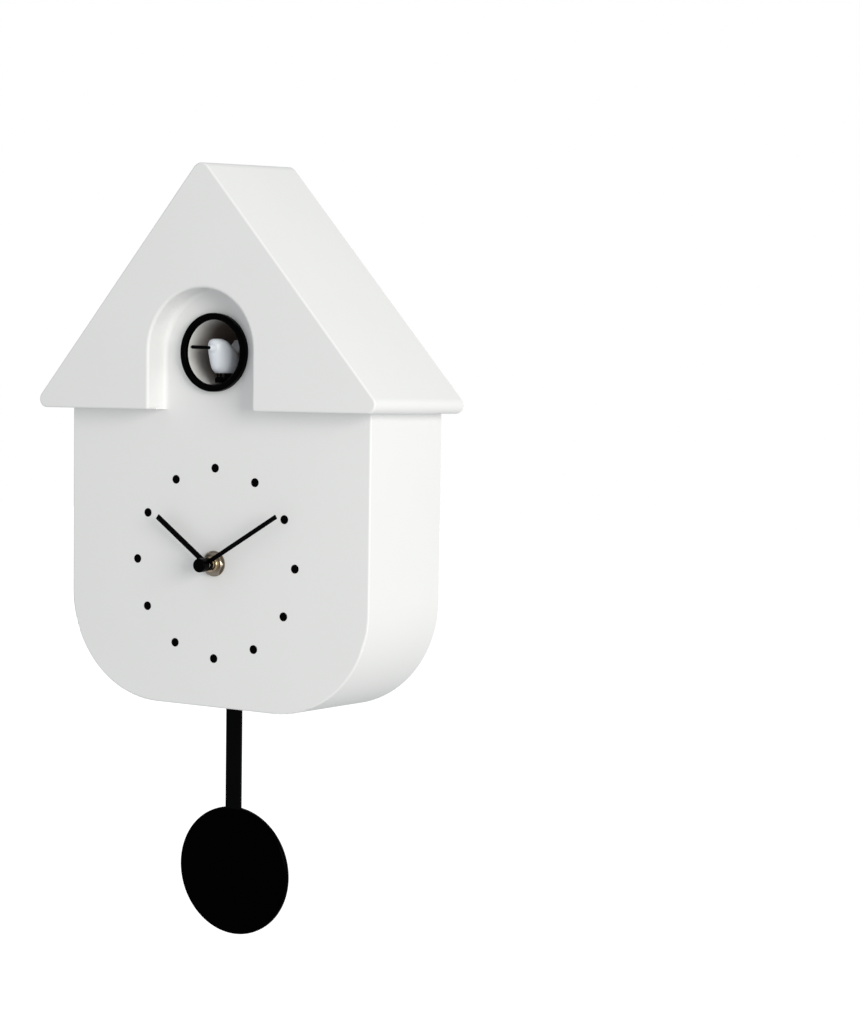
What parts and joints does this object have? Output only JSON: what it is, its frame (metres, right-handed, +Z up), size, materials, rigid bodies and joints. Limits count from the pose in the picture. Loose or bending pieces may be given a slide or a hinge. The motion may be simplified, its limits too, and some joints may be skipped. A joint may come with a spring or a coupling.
{
  "type": "cuckoo clock",
  "caption": "House-shaped wall cuckoo clock with a gabled hood, a round bird window in an arched porch, a dotted dial with straight hands and a disc pendulum.",
  "frame": {"origin": "centre of the keyhole's round entry hole, on the wall plane of the back cover", "axes": "+Z up, +Y from the clock into the wall, so the dial faces -Y; +X to the right of someone facing the dial"},
  "size_m": [0.221, 0.0887, 0.4141],
  "materials": {
    "white_shell": "satin moulded",
    "black_trim": "satin",
    "black_hands": "black paint",
    "black_bob": "matt with a satin edge",
    "cream_tunnel": "matt",
    "bird_white": "soft sheen",
    "grey_plastic": "moulded",
    "black_case": "moulded",
    "red_button": "moulded",
    "pom_gear": "natural acetal",
    "brass_bushing": "turned",
    "steel": "zinc plated",
    "plated_brass": "nickel plated",
    "magnet": "nickel plated",
    "rubber": "matt",
    "copper_coil": "enamelled wire",
    "green_board": "solder mask",
    "components": "moulded",
    "cell_sleeve": "sleeve",
    "speaker_paper": "pressed paper",
    "lead_sleeve": "insulation"
  },
  "bodies": {
    "clock_case": {"roof_shell": "white_shell", "body_shell": "white_shell", "back_cover": "white_shell", "hour_dots": "black_trim", "window_ring": "black_trim", "bird_tunnel": "cream_tunnel", "mechanism_frame": "grey_plastic", "battery_tray": "grey_plastic", "speaker_frame": "grey_plastic", "movement_case_front": "black_case", "movement_case_rear": "black_case", "pendulum_drive_case": "black_case", "cuckoo_gearmotor": "black_case", "movement_bridge": "pom_gear", "threaded_bushing": "brass_bushing", "stator": "steel", "pendulum_pivot": "steel", "roof_screws": "steel", "cover_screws": "steel", "speaker_screws": "steel", "board_screws": "steel", "battery_contacts": "steel", "mounting_nut": "plated_brass", "nut_washer": "plated_brass", "speaker_magnet": "magnet", "rubber_gasket": "rubber", "stepper_coil": "copper_coil", "pendulum_drive_coil": "copper_coil", "quartz_board": "green_board", "sound_board": "green_board", "board_components": "components", "battery_cells": "cell_sleeve", "speaker_cone": "speaker_paper", "internal_leads": "lead_sleeve"},
    "minute": {"minute_arbor": "steel", "minute_hand": "black_hands", "hand_cap": "black_trim"},
    "hour": {"hour_wheel": "pom_gear", "hour_hand": "black_hands"},
    "minute_gear": {"minute_wheel": "pom_gear"},
    "setting": {"setting_stem": "pom_gear", "setting_knob": "black_case"},
    "pendulum": {"pendulum_hanger": "black_case", "pendulum_bar": "black_hands", "pendulum_bob": "black_bob", "pendulum_magnet": "magnet"},
    "bird": {"bird_carriage": "black_trim", "bird_body": "bird_white", "bird_beak": "black_trim", "bird_feet": "black_trim"},
    "pinion": {"drive_pinion": "pom_gear"},
    "door": {"battery_door": "white_shell"},
    "mode": {"mode_switch": "grey_plastic"},
    "volume": {"volume_knob": "grey_plastic"},
    "button": {"test_button": "red_button"}
  },
  "joints": [
    {"name": "minute_turn", "type": "hinge", "parent": "clock_case", "child": "minute", "pos_m": [0, -0.0728, -0.15], "axis": [0, 1, 0], "continuous": true},
    {"name": "hour_turn", "type": "hinge", "parent": "clock_case", "child": "hour", "pos_m": [0, -0.0678, -0.15], "axis": [0, 1, 0], "continuous": true},
    {"name": "minute_gear_turn", "type": "hinge", "parent": "clock_case", "child": "minute_gear", "pos_m": [0.01, -0.0593, -0.15], "axis": [0, 1, 0], "continuous": true},
    {"name": "setting_turn", "type": "hinge", "parent": "clock_case", "child": "setting", "pos_m": [0.02, -0.03, -0.15], "axis": [0, 1, 0], "continuous": true},
    {"name": "pendulum_swing", "type": "hinge", "parent": "clock_case", "child": "pendulum", "pos_m": [0, -0.0481, -0.125], "axis": [0, 1, 0], "range_deg": [-8, 8]},
    {"name": "bird_slide", "type": "slide", "parent": "clock_case", "child": "bird", "axis": [0, -1, 0], "range_m": [0, 0.024]},
    {"name": "pinion_turn", "type": "hinge", "parent": "clock_case", "child": "pinion", "pos_m": [0, -0.0348, -0.06243], "axis": [1, 0, 0], "range_deg": [0, 230]},
    {"name": "battery_door_open", "type": "hinge", "parent": "clock_case", "child": "door", "pos_m": [0, -0.00125, -0.2115], "axis": [-1, 0, 0], "range_deg": [0, 100]},
    {"name": "mode_switch_slide", "type": "slide", "parent": "clock_case", "child": "mode", "axis": [1, 0, 0], "range_m": [0, 0.006]},
    {"name": "volume_turn", "type": "hinge", "parent": "clock_case", "child": "volume", "pos_m": [-0.062, -0.005, -0.112], "axis": [0, 1, 0], "range_deg": [0, 270]},
    {"name": "test_button_press", "type": "slide", "parent": "clock_case", "child": "button", "axis": [0, -1, 0], "range_m": [0, 0.001], "stiffness_N_per_m": 250}
  ],
  "couplings": [
    {"joint": "hour_turn", "follows": "minute_turn", "ratio": 0.083333},
    {"joint": "minute_gear_turn", "follows": "minute_turn", "ratio": -0.33333},
    {"joint": "setting_turn", "follows": "minute_turn", "ratio": 1},
    {"joint": "pinion_turn", "follows": "bird_slide", "rad_per_m": 166.67}
  ]
}
